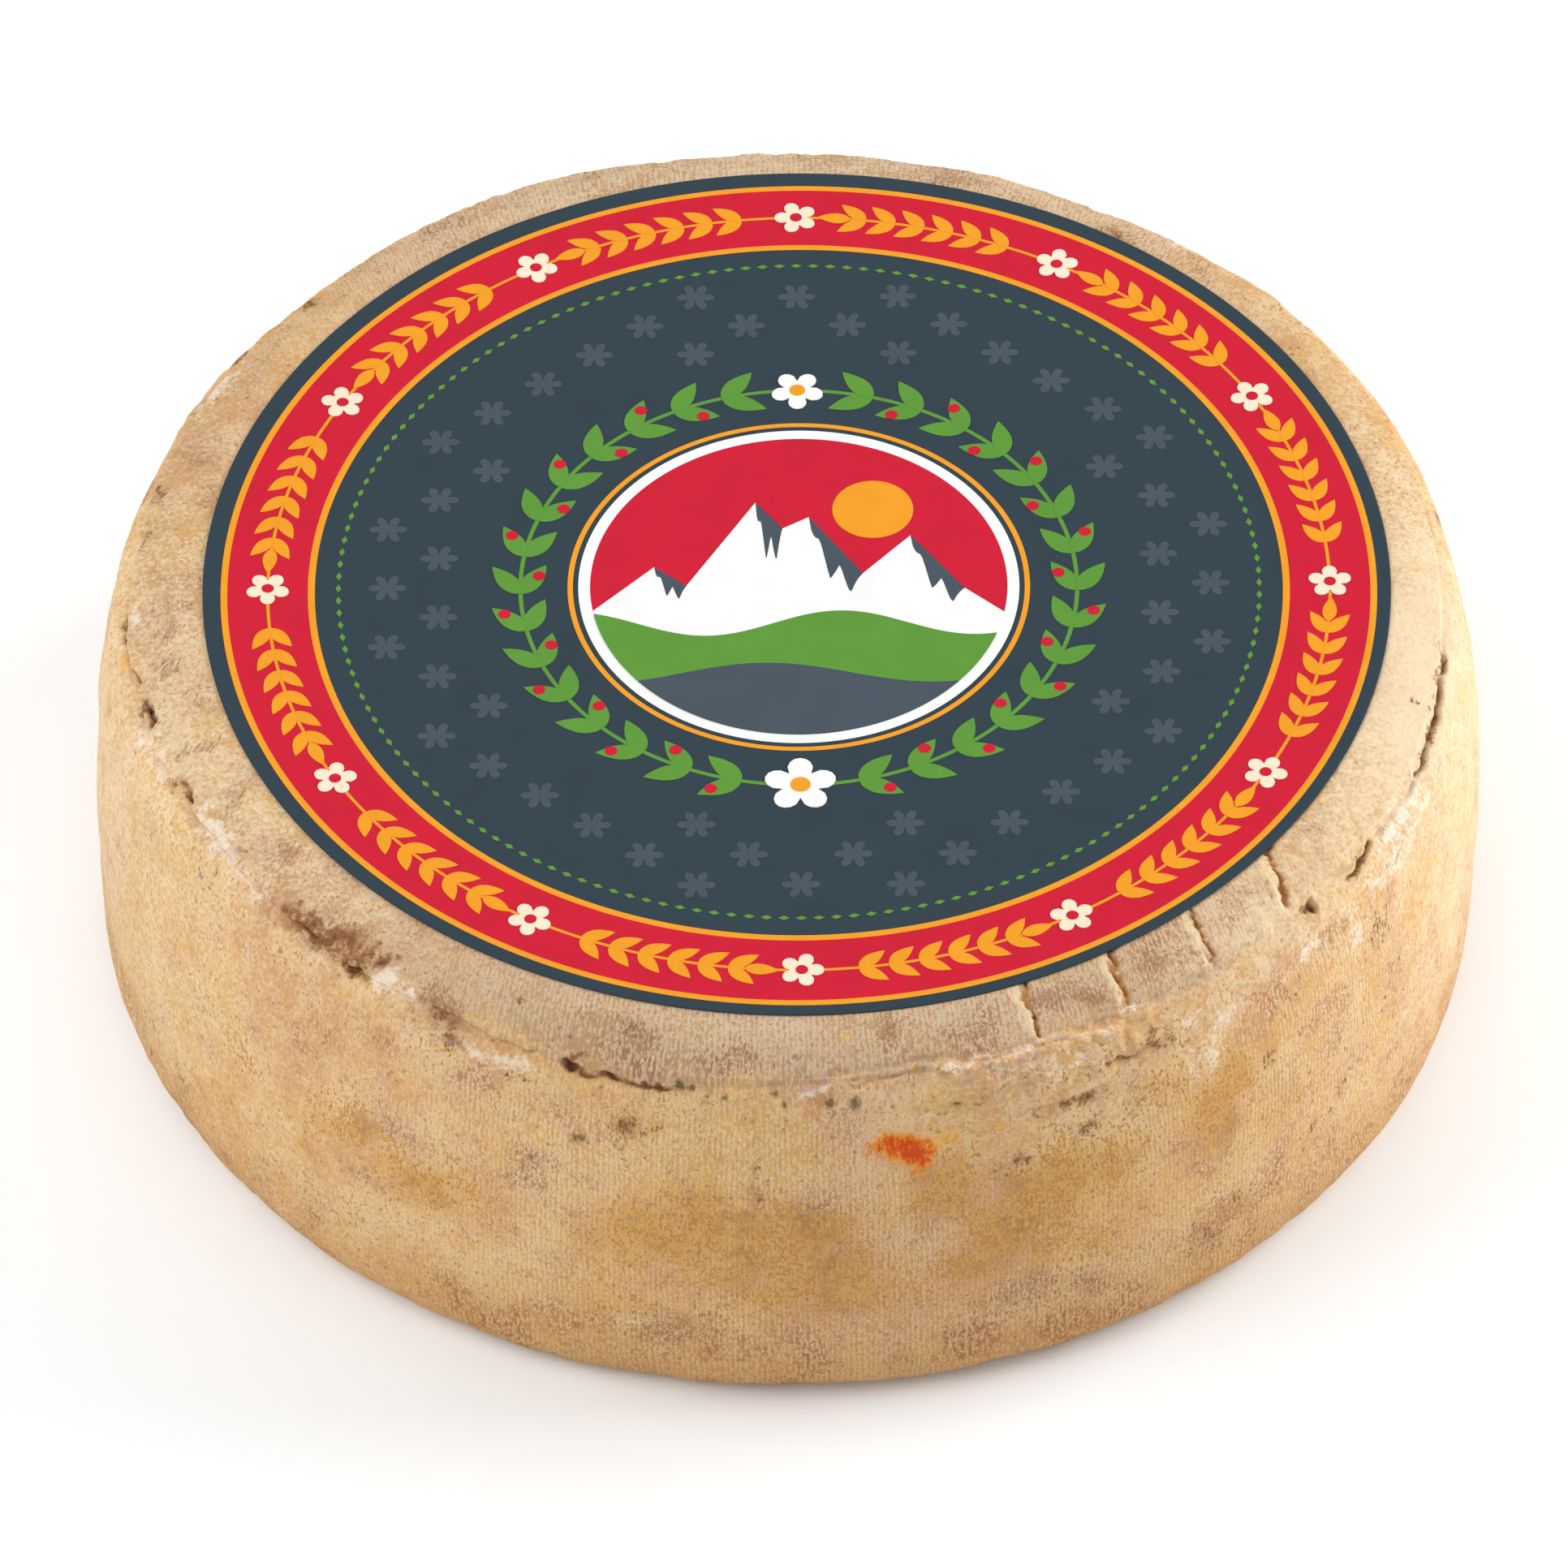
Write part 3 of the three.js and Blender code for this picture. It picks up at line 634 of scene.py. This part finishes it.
rindLook = {
    "ribPitch": 1.0,  # mm, thread spacing of the cloth
    # noises: size of a lump in mm, detail, roughness
    "noises": {
        "broad": (45, 2.0, 0.5),
        "patchy": (17, 3.0, 0.6),
        "drifts": (11, 3.0, 0.6),
        "clots": (7.5, 3.0, 0.6),
        "sway": (4.5, 2.0, 0.6),
        "crumble": (3.0, 3.0, 0.65),
        "grain": (2.2, 3.0, 0.65),
        "speckle": (0.9, 2.0, 0.65),
    },
    # noises drawn out along the threads: width and length in mm, detail
    "dashes": {
        "longDash": (0.8, 2.2, 2.0),
        "shortDash": (0.5, 0.85, 1.0),
    },
    "tones": {
        "cream": "#ddc199",
        "pinkCream": "#d9ba98",
        "straw": "#cd9f60",
        "tan": "#c59566",
        "golden": "#c99b53",
        "rosy": "#c08c62",
        "amberBrown": "#b27d3c",
        # the foot's tones, darker than the side's: partly painted shade on the lower side
        "footCrest": "#caa574",
        "footGround": "#b2804d",
        "rimCrest": "#c5b197",
        "rimGround": "#ab8865",
        "brown": "#84532f",
        "darkBrown": "#5a3116",
        "bloom": "#eadcca",
        # pale tone of the chalky rind, also the painted highlight on the right side
        "chalkAndHighlight": "#e6d4b4",
        "mould": "#55492e",
        "dust": "#978f72",
        "speck": "#84694a",
        "rustCore": "#c63c00",
        "rustEdge": "#e08208",
        "gold": "#dda440",
        "mauve": "#a58482",
        # the furrows' cut: ochre, partly its own colour and partly painted shade
        "furrow": "#b57e3a",
        # pale cream of the furrows' lips, a painted highlight
        "lip": "#e7d2a8",
    },
    "overlays": [
        # field, tone, edges of the step, strength, what tears its edge, how much
        # chalky paleness, partly painted highlight on the right side
        ("chalkAndHighlight", "chalkAndHighlight", 0.00, 1.00, 0.60, "crumbs", 0.9),
        ("gold", "gold", 0.15, 0.95, 0.70, "crumbs", 0.9),
        ("brown", "brown", 0.30, 1.05, 0.88, "threads", 2.3),
        ("brown", "darkBrown", 0.95, 1.50, 0.70, "threads", 2.3),
        ("stroke", "brown", 0.50, 1.00, 0.60, "dashes", 1.3),
        ("bloom", "bloom", 0.15, 1.05, 0.70, "crumbs", 1.3),
        ("mauve", "mauve", 0.30, 1.00, 0.70, "crumbs", 1.0),
        ("rust", "rustEdge", 0.06, 0.60, 0.90, "threads", 1.0),
        ("rust", "rustCore", 0.36, 1.00, 0.95, "threads", 1.6),
        ("mould", "mould", 0.30, 0.85, 0.85, "crumbs", 0.8),
        # painted shade in the fold's groove and the cracks, darker the deeper they are
        ("cavity", "brown", 0.25, 0.85, 0.70, "crumbs", 0.5),
        ("cavity", "darkBrown", 0.65, 1.10, 0.80, "crumbs", 0.3),
        # painted highlight on the furrows' raised lips
        ("lip", "lip", 0.25, 1.00, 0.55, "crumbs", 1.0),
        # the furrows' cut: ochre, then brown at its deepest, as painted shade in the cut
        ("furrow", "furrow", 0.20, 0.75, 0.80, "crumbs", 0.4),
        ("furrow", "brown", 0.70, 1.15, 0.60, "crumbs", 0.6),
    ],
}


# natural rind of a pressed cheese, dried on the shelf after cloth pressing: matt, with fine upright
# ribs from the cloth whose pale crests are dusted with flora over an oily straw to golden ground
def rindMaterial():
    look = rindLook
    material, tree, shader = newMaterial("natural cheese rind, cloth pressed")
    tone = {name: linear(value) for name, value in look["tones"].items()}
    place = addNode(tree, "TexCoord", {}, out=3)
    cloth = addNode(tree, "UVMap", {}, uv_map="cloth")
    product, smooth = {"operation": "MULTIPLY"}, {"interpolation_type": "SMOOTHSTEP"}

    # signals: the mesh's own fields, the noises and the dashes, then what is made of them
    signal = {
        name: addNode(tree, "Attribute", {}, out=2, attribute_name=name)
        for name in (*marks, "cavity", "furrow", "lip", "rim", "foot", "ribs")
    }
    for name, (size, detail, coarse) in look["noises"].items():
        settings = {"Vector": place, "Scale": 1 / (size * mm), "Detail": detail, "Roughness": coarse}
        signal[name] = addNode(tree, "TexNoise", settings)
    for name, (wide, long, detail) in look["dashes"].items():
        drawn = addNode(tree, "Mapping", {"Vector": cloth, "Scale": (1 / wide, 1 / long, 1)})
        settings = {"Vector": drawn, "Scale": 1.0, "Detail": detail}
        signal[name] = addNode(tree, "TexNoise", settings, noise_dimensions="2D")

    # weighted sum of signals, from a base
    def weighted(base, **weights):
        for name, weight in weights.items():
            base = addNode(tree, "Math", (signal[name], weight, base), operation="MULTIPLY_ADD")
        return base

    # colours laid over one another, each by its share
    def layered(base, *layers):
        for share, over in layers:
            base = addNode(tree, "Mix", {0: share, 6: base, 7: over}, out=2, data_type="RGBA")
        return base

    # ribs: a cosine across the cloth, pushed sideways a little so that no thread is straight
    signal["across"] = addNode(tree, "SeparateXYZ", (cloth,))
    phase = weighted(0.0, across=2 * math.pi / look["ribPitch"], sway=7.0)
    rib = addNode(tree, "Math", (phase,), operation="COSINE")
    rib = signal["rib"] = addNode(tree, "Math", (rib, signal["ribs"]), **product)
    # where the ribs are worn away a plain crumbly speckle takes the threads' place
    ribbed = weighted(0.0, longDash=0.7, shortDash=0.7, rib=0.08)
    plain = weighted(0.0, crumble=0.4, speckle=1.0)
    signal["thread"] = addNode(tree, "Mix", {0: signal["ribs"], 2: plain, 3: ribbed})

    # oily patches drown the pale threads; their edges break up along the ribs
    oily = weighted(0.0, ochre=0.9, foot=0.10, patchy=1.0, clots=1.7, longDash=2.0, shortDash=1.4)
    oily = signal["oily"] = addNode(tree, "MapRange", (oily, 3.44, 3.74), **smooth)
    veil = weighted(signal["thread"], patchy=0.65, clots=0.60, oily=-0.38)
    pale = signal["pale"] = addNode(tree, "MapRange", (veil, 1.10, 1.54), **smooth)

    # straw and rosy drifts, browner and darker at the foot, partly as painted shade where little light
    # reaches the lower side, paler and greyer on the rim
    blush = addNode(tree, "MapRange", (weighted(0.0, broad=0.6, drifts=0.6), 0.50, 0.72), **smooth)
    amber = addNode(tree, "MapRange", (signal["clots"], 0.44, 0.70, 0.0, 0.65), **smooth)
    rosy = addNode(tree, "MapRange", (signal["sway"], 0.50, 0.72, 0.0, 0.55), **smooth)
    toasted = addNode(tree, "MapRange", (weighted(0.0, grain=0.8, shortDash=0.9), 0.72, 1.0), **smooth)
    ground = layered(
        tone["straw"],
        (blush, tone["tan"]),
        (amber, tone["golden"]),
        (rosy, tone["rosy"]),
        (weighted(0.0, foot=0.7), tone["footGround"]),
        (signal["rim"], tone["rimGround"]),
        (oily, layered(tone["golden"], (toasted, tone["amberBrown"]))),
    )
    crest = layered(
        tone["cream"],
        (blush, tone["pinkCream"]),
        (weighted(0.0, foot=0.8), tone["footCrest"]),
        (signal["rim"], tone["rimCrest"]),
    )

    # brown flecks between the threads, in loose drifts, thicker at the foot
    drift = weighted(signal["drifts"], stroke=0.36, foot=0.11)
    signal["drift"] = addNode(tree, "MapRange", (drift, 0.52, 0.76), **smooth)
    fleck = addNode(tree, "MapRange", (weighted(signal["longDash"], shortDash=0.8), 1.0, 0.74), **smooth)
    fleck = addNode(tree, "Math", (fleck, weighted(0.05, drift=0.56)), **product)
    colour = layered(ground, (weighted(0.0, pale=0.85), crest), (fleck, tone["brown"]))

    # grey-green dust, sparse dots a millimetre across, and finer brown specks in loose clusters:
    # spacing in mm, edges of a dot, where they gather, from, to, strength, tone
    for spacing, outer, inner, where, start, end, strength, name in (
        (4.8, 0.20, 0.08, "clots", 0.52, 0.64, 0.55, "dust"),
        (2.0, 0.24, 0.12, "sway", 0.43, 0.58, 0.60, "speck"),
    ):
        dots = addNode(tree, "TexVoronoi", {"Vector": place, "Scale": 1 / (spacing * mm)})
        dots = addNode(tree, "MapRange", (dots, outer, inner), **smooth)
        gathered = addNode(tree, "MapRange", (signal[where], start, end, 0.0, strength), **smooth)
        colour = layered(colour, (addNode(tree, "Math", (dots, gathered), **product), tone[name]))

    # marks: each soft field is broken up by grain and thread so that its edge is ragged
    signal["crumbs"] = weighted(-1.6, clots=0.5, speckle=1.2, grain=1.5)
    signal["threads"] = weighted(-1.55, clots=0.5, thread=1.0, grain=1.2)
    signal["dashes"] = weighted(-1.75, shortDash=0.8, longDash=2.6)
    for name, over, start, end, strength, tear, share in look["overlays"]:
        edge = weighted(signal[name], **{tear: share})
        edge = addNode(tree, "MapRange", (edge, start, end, 0.0, strength), **smooth)
        within = addNode(tree, "MapRange", (signal[name], 0.04, 0.16), **smooth)
        colour = layered(colour, (addNode(tree, "Math", (edge, within), **product), tone[over]))
    tree.links.new(colour, shader.inputs["Base Color"])

    # oily patches are a little shinier than the dusty threads
    gloss = addNode(tree, "MapRange", (oily, 0.0, 1.0, 0.86, 0.66), **smooth)
    tree.links.new(gloss, shader.inputs["Roughness"])
    shader.inputs["Specular IOR Level"].default_value = 0.3

    # relief: ribs some hundredths of a millimetre high and a fine grain
    strong = addNode(tree, "MapRange", (signal["patchy"], 0.36, 0.60, 0.15, 0.6), **smooth)
    weave = addNode(tree, "Math", (rib, strong), **product)
    weave = weighted(weave, pale=0.6, grain=1.2, speckle=weighted(2.0, ribs=-1.4))
    bump = addNode(tree, "Bump", {"Strength": 0.5, "Distance": 0.05 * mm, "Height": weave})
    tree.links.new(bump, shader.inputs["Normal"])
    return material


rind = makeRind()
rind.data.materials.append(rindMaterial())
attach(rind, "root")
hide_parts("cheese_wheel")
print("rind made,", len(rind.data.polygons), "faces")


# the label: a round of coated paper stuck on the flat top, printed with rings, a garland and a mountain
label = {
    "radius": 111.0,
    "thickness": 0.38,
    "top": 82.4,
    "centre": (1.9, 2.3),
    "curlFrom": 108.9,  # radius where the edge begins to lift
    "curl": 0.16,  # how far it lifts
    "sides": 360,
}


# a thin round sheet: flat out to the curl, then lifting by the square of the distance past it
def makeLabel():
    edge, curlFrom, top = label["radius"], label["curlFrom"], label["top"]
    bottom = top - label["thickness"]
    rings = np.array([6, 60, 100, curlFrom, edge - 1, edge - 0.25, edge])
    rounded = np.array([0, 0, 0, 0, 0, 0.02, 0.10])
    radius, inset = np.concatenate([rings, rings[::-1]]), np.concatenate([rounded, rounded[::-1]])
    lower = np.arange(len(radius)) < len(rings)
    turn = np.arange(label["sides"]) / label["sides"]
    theta = 2 * np.pi * turn[None, :]
    height = np.where(lower, bottom + inset, top - inset)[:, None]
    past = np.clip((radius - curlFrom) / (edge - curlFrom), 0, 1)[:, None] ** 2
    lift = label["curl"] * np.clip(0.35 + 0.8 * ringNoise(turn, turn * 0, 23, 1, 31), 0, 1)[None, :]
    grid = np.stack([
        label["centre"][0] + radius[:, None] * np.cos(theta),
        label["centre"][1] + radius[:, None] * np.sin(theta),
        height + past * lift,
    ], 2)
    return roundPiece("paper_label_sheet", grid, [*label["centre"], bottom], [*label["centre"], top])


# print: one piece for each ink, made of thin closed plates on the paper, sizes in mm
printing = {
    "centre": (2.3, 1.6),
    "layer": 0.03,  # height of one layer of ink
    "outerLine": (106.75, 108.0),
    "band": (91.7, 106.75),
    "innerLine": (90.4, 91.7),
    "garlandRadius": 99.2,
    "garlandGroups": 12,
    "garlandPairs": 6,
    "garlandLeaf": (6.4, 1.35),  # length, half width
    "garlandFlower": (4.1, 1.15),  # petals, eye
    "beadRadius": 86.0,
    "beads": 168,
    "bead": (1.05, 0.55),
    "rosettePitch": 15.5,
    "rosettes": (63, 81),  # from, to radius
    "rosette": 3.6,
    "wreathRadius": 52.0,
    "wreathPairs": 15,
    "wreathLeaf": (9.0, 1.9),
    "wreathFlowers": [(-1, 6.8, 1.9), (1, 5.0, 1.5)],  # end of the wreath, petals, eye
    "berry": 1.2,
    "medal": 39.0,
    "sun": (14, 20, 7.6),  # x, y, radius
    "ridge": [
        (-39, -7), (-27, 5), (-21, 0), (-8, 22), (-3, 15), (2, 18), (12, 3), (21, 13), (31, -1), (39, -8),
    ],
    "flanks": [(-27, -21, 6), (-8, -3, 13), (2, 12, 11), (21, 31, 9)],  # from x, to x, drop
    "hills": [(-10, 3.2, 8, 0.6), (-23, 2.6, 10, 2.2)],  # level, wave height, wave length / 2 pi, phase
    "inks": {
        "red": "#c1142f",
        "orange": "#e2941f",
        "green": "#578d33",
        "white": "#e8e8e6",
        "cream": "#ead7be",
        "slate": "#424d58",
    },
}


# points, quads and triangles of several plates as one set
def joinPlates(plates):
    points, quads, triangles, base = [], [], [], 0
    for plate in plates:
        points.append(plate[0])
        quads.append(plate[1] + base)
        triangles.append(plate[2] + base)
        base += len(plate[0])
    return np.concatenate(points), np.concatenate(quads), np.concatenate(triangles)


# heights of the under and upper face of a plate on a print layer
def layerSpan(layer):
    return label["top"] - 0.01, label["top"] + layer * printing["layer"]


# plates from outlines (count, corners, 2) that each see their own middle: a fan above, one below, a wall
def fanPlates(outlines, layer):
    count, corners = outlines.shape[:2]
    low, high = layerSpan(layer)
    flat = outlines.reshape(-1, 2) + printing["centre"]
    middle = outlines.mean(1) + printing["centre"]
    points = np.concatenate([
        np.column_stack([spread, np.full(len(spread), level)])
        for spread, level in ((flat, high), (flat, low), (middle, high), (middle, low))
    ])
    k, i = np.meshgrid(np.arange(count), np.arange(corners), indexing="ij")
    upper, upperNext = (k * corners + i).ravel(), (k * corners + (i + 1) % corners).ravel()
    lower, lowerNext = upper + len(flat), upperNext + len(flat)
    above, below = (k + 2 * len(flat)).ravel(), (k + 2 * len(flat) + count).ravel()
    quads = np.stack([lower, lowerNext, upperNext, upper], 1)
    triangles = np.concatenate([
        np.stack([above, upper, upperNext], 1),
        np.stack([below, lowerNext, lower], 1),
    ])
    return points, quads, triangles


# a plate from four courses of points, each joined to the next by quads; an open strip has two end faces
def coursePlate(courses, isOpen):
    m = len(courses[0])
    i = np.arange(m - isOpen)
    n = (i + 1) % m
    quads = [
        np.stack([a * m + i, b * m + i, b * m + n, a * m + n], 1)
        for a, b in ((0, 1), (1, 2), (2, 3), (3, 0))
    ]
    if isOpen:
        quads.append(np.array([[0, 3 * m, 2 * m, m], [m - 1, 2 * m - 1, 3 * m - 1, 4 * m - 1]]))
    return np.concatenate(courses), np.concatenate(quads), np.zeros((0, 3), int)


# a flat ring between two radii
def ringPlate(inner, outer, layer, corners=360):
    low, high = layerSpan(layer)
    theta = 2 * np.pi * np.arange(corners) / corners
    circle = np.stack([np.cos(theta), np.sin(theta)], 1)
    return coursePlate([
        np.column_stack([circle * radius + printing["centre"], np.full(corners, level)])
        for radius, level in ((inner, high), (outer, high), (outer, low), (inner, low))
    ], False)


# a plate between a lower and an upper curve over x
def bandPlate(x, lower, upper, layer):
    low, high = layerSpan(layer)
    upper = np.maximum(upper, lower + 0.05)
    middleX, middleY = printing["centre"]
    return coursePlate([
        np.column_stack([x + middleX, y + middleY, np.full(len(x), level)])
        for y, level in ((lower, high), (lower, low), (upper, low), (upper, high))
    ], True)


# pointed leaf from its stalk at 0: half width is a sine of the way along, fuller near the stalk
def leafOutline(length, half, corners=10):
    way = np.linspace(0, 1, corners, endpoint=False)
    edge = half * np.sin(np.pi * way ** 0.8) ** 0.9
    back = 1 - way
    backEdge = half * np.sin(np.pi * back ** 0.8) ** 0.9
    return np.concatenate([
        np.stack([length * way, -edge], 1),
        np.stack([length * back, backEdge], 1),
    ])


# flower or disc: the radius swells and dips once for each petal
def flowerOutline(radius, petals=0, dip=0.0, corners=40):
    turn = 2 * np.pi * np.arange(corners) / corners
    reachOut = radius * (1 - dip + dip * np.abs(np.cos(petals * turn / 2)) ** 0.7)
    return np.stack([reachOut * np.cos(turn), reachOut * np.sin(turn)], 1)


# copies of an outline turned by angles and moved to places
def placed(outline, x, y, turn=0.0):
    x, y, turn = np.broadcast_arrays(np.asarray(x, float), y, turn)
    c, s = np.cos(turn)[:, None], np.sin(turn)[:, None]
    return np.stack([
        x[:, None] + outline[:, 0] * c - outline[:, 1] * s,
        y[:, None] + outline[:, 0] * s + outline[:, 1] * c,
    ], 2)


# copies of an outline on a circle, each turned from the circle's own direction by a lean
def placedRound(outline, radius, angle, lean=0.0):
    return placed(outline, radius * np.cos(angle), radius * np.sin(angle), angle + np.pi / 2 + lean)


# the design: plates of each ink, stacked by layer, set round the middle of the print
def makePrint():
    p = printing
    garland, wreath, medal = p["garlandRadius"], p["wreathRadius"], p["medal"]
    plates = {name: [] for name in p["inks"]}

    def stamp(ink, outlines, layer):
        plates[ink].append(fanPlates(outlines, layer))

    plates["red"].append(ringPlate(*p["band"], 1))
    plates["orange"] += [ringPlate(*p["outerLine"], 1), ringPlate(*p["innerLine"], 1)]

    # garland in the band: leaf pairs in twelve runs along a thin stem, a cream flower between runs
    pitch = 2 * np.pi / p["garlandGroups"]
    starts = pitch * np.arange(p["garlandGroups"])
    along = (starts[:, None] + pitch * np.linspace(0.20, 0.74, p["garlandPairs"])[None, :]).ravel()
    leaf = leafOutline(*p["garlandLeaf"])
    petals, eye = p["garlandFlower"]
    for lean, layer in ((0.62, 3), (-0.62, 4)):
        stamp("orange", placedRound(leaf, garland, along, lean), layer)
    plates["orange"].append(ringPlate(garland - 0.3, garland + 0.3, 2))
    stamp("orange", placedRound(leaf, garland, starts + pitch * 0.82 - 0.012), 5)
    stamp("cream", placedRound(flowerOutline(petals, 5, 0.5), garland, starts), 6)
    stamp("red", placedRound(flowerOutline(eye), garland, starts), 7)

    # a line of small green beads inside the band
    long, wide = p["bead"]
    bead = np.array([[long, 0], [0, wide], [-long, 0], [0, -wide]])
    stamp("green", placedRound(bead, p["beadRadius"], 2 * np.pi * np.arange(p["beads"]) / p["beads"]), 1)

    # faint six-petal rosettes over the field, on a slanted grid
    i, j = np.meshgrid(np.arange(-8, 9), np.arange(-8, 9))
    x, y = (i + j) * p["rosettePitch"] * 0.62, (i - j) * p["rosettePitch"] * 0.5
    nearest, farthest = p["rosettes"]
    keep = (np.hypot(x, y) > nearest) & (np.hypot(x, y) < farthest)
    stamp("slate", placed(flowerOutline(p["rosette"], 6, 0.72), x[keep], y[keep]), 1)

    # wreath of two branches with red berries, a white flower where they meet and another above
    climb = np.radians(np.linspace(-78, 74, p["wreathPairs"]))
    leaf = leafOutline(*p["wreathLeaf"])
    for lean, layer in ((0.6, 2), (-0.6, 3)):
        right = placedRound(leaf, wreath, climb, lean)
        stamp("green", right, layer)
        stamp("green", right[:, ::-1] * np.array([-1, 1]), layer)
    plates["green"].append(ringPlate(wreath - 0.4, wreath + 0.4, 1))
    climb = np.radians(np.linspace(-72.6, 68.6, p["wreathPairs"] - 1))
    outward = wreath + np.where(np.arange(len(climb)) % 2 == 0, 3.4, -3.4)
    berry = flowerOutline(p["berry"], corners=16)
    for side in (1, -1):
        stamp("red", placed(berry, side * outward * np.cos(climb), outward * np.sin(climb)), 4)
    for end, petals, eye in p["wreathFlowers"]:
        stamp("white", placed(flowerOutline(petals, 5, 0.5), [0], end * wreath, -end * np.pi / 2), 5)
        stamp("orange", placed(flowerOutline(eye), [0], end * wreath), 6)

    # medal: red sky, sun, white peaks with shaded flanks, a green hill and a dark one in front
    plates["orange"].append(ringPlate(medal + 3.2, medal + 4.2, 1))
    plates["white"].append(ringPlate(medal, medal + 2.2, 1))
    stamp("red", flowerOutline(medal, corners=160)[None], 1)
    sunX, sunY, sunRadius = p["sun"]
    stamp("orange", placed(flowerOutline(sunRadius, corners=60), [sunX], sunY), 2)
    ridgeX, ridgeY = np.array(p["ridge"], float).T
    for start, end, drop in p["flanks"]:
        way = np.linspace(start, end, 24)
        jag = 0.35 + 0.65 * np.abs((np.linspace(0, 2.6, 24) % 1) - 0.5) * 2
        ends = np.sin(np.linspace(0, np.pi, 24)) ** 0.6
        shade = np.interp(way, ridgeX, ridgeY)
        plates["slate"].append(bandPlate(way, shade - drop * jag * ends - 0.06, shade, 4))
    # x steps evenly round the medal's edge, so that each field ends in a point there
    x = np.unique(np.concatenate([medal * np.sin(np.linspace(-1.5, 1.5, 400)), ridgeX[1:-1]]))
    bowl = -np.sqrt(medal ** 2 - x ** 2)
    ridge = np.interp(x, ridgeX, ridgeY)
    hill, front = (level + rise * np.sin(x / long + phase) for level, rise, long, phase in p["hills"])
    for ink, lower, upper, layer in (
        ("white", np.maximum(hill - 3, bowl), ridge, 3),
        ("green", bowl, hill, 5),
        ("slate", bowl, front, 6),
    ):
        inside = upper > bowl + 0.05
        plates[ink].append(bandPlate(x[inside], lower[inside], upper[inside], layer))

    pieces = {}
    for name, parts in plates.items():
        points, quads, triangles = joinPlates(parts)
        pieces[name] = meshPiece("print_" + name, points, [quads, triangles])
    return pieces


# offset print on coated label paper: even ink film over pressed fibres, a soft satin sheen,
# with a faint mottle from the paper under the ink
def printedPaper(name, hexColour, rough):
    material, tree, shader = newMaterial(name)
    place = addNode(tree, "TexCoord", {}, out=3)
    cloudy = {"Vector": place, "Scale": 1 / (9 * mm), "Detail": 4.0, "Roughness": 0.6}
    mottle = addNode(tree, "TexNoise", cloudy)
    # real fibres are finer, these are as coarse as they need to show
    fibre = addNode(tree, "TexNoise", {"Vector": place, "Scale": 1 / (0.6 * mm), "Detail": 2.0})
    shade = addNode(tree, "MapRange", (mottle, 0.3, 0.7, 0.95, 1.05))
    colour = addNode(tree, "HueSaturation", {"Value": shade, "Color": linear(hexColour)})
    tree.links.new(colour, shader.inputs["Base Color"])
    sheen = addNode(tree, "MapRange", (mottle, 0.3, 0.7, rough - 0.05, rough + 0.05))
    tree.links.new(sheen, shader.inputs["Roughness"])
    bump = addNode(tree, "Bump", {"Strength": 0.12, "Distance": 0.05 * mm, "Height": fibre})
    tree.links.new(bump, shader.inputs["Normal"])
    shader.inputs["Specular IOR Level"].default_value = 0.16
    return material


sheet = makeLabel()
sheet.data.materials.append(printedPaper("coated paper, slate print", "#2b3a43", 0.6))
sheet.data.shade_flat()
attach(sheet, "root")
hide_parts("paper_label")
for inkName, piece in makePrint().items():
    inked = printedPaper("coated paper, " + inkName + " print", printing["inks"][inkName], 0.58)
    piece.data.materials.append(inked)
    piece.data.shade_flat()
    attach(piece, "root")
print("label and print made")
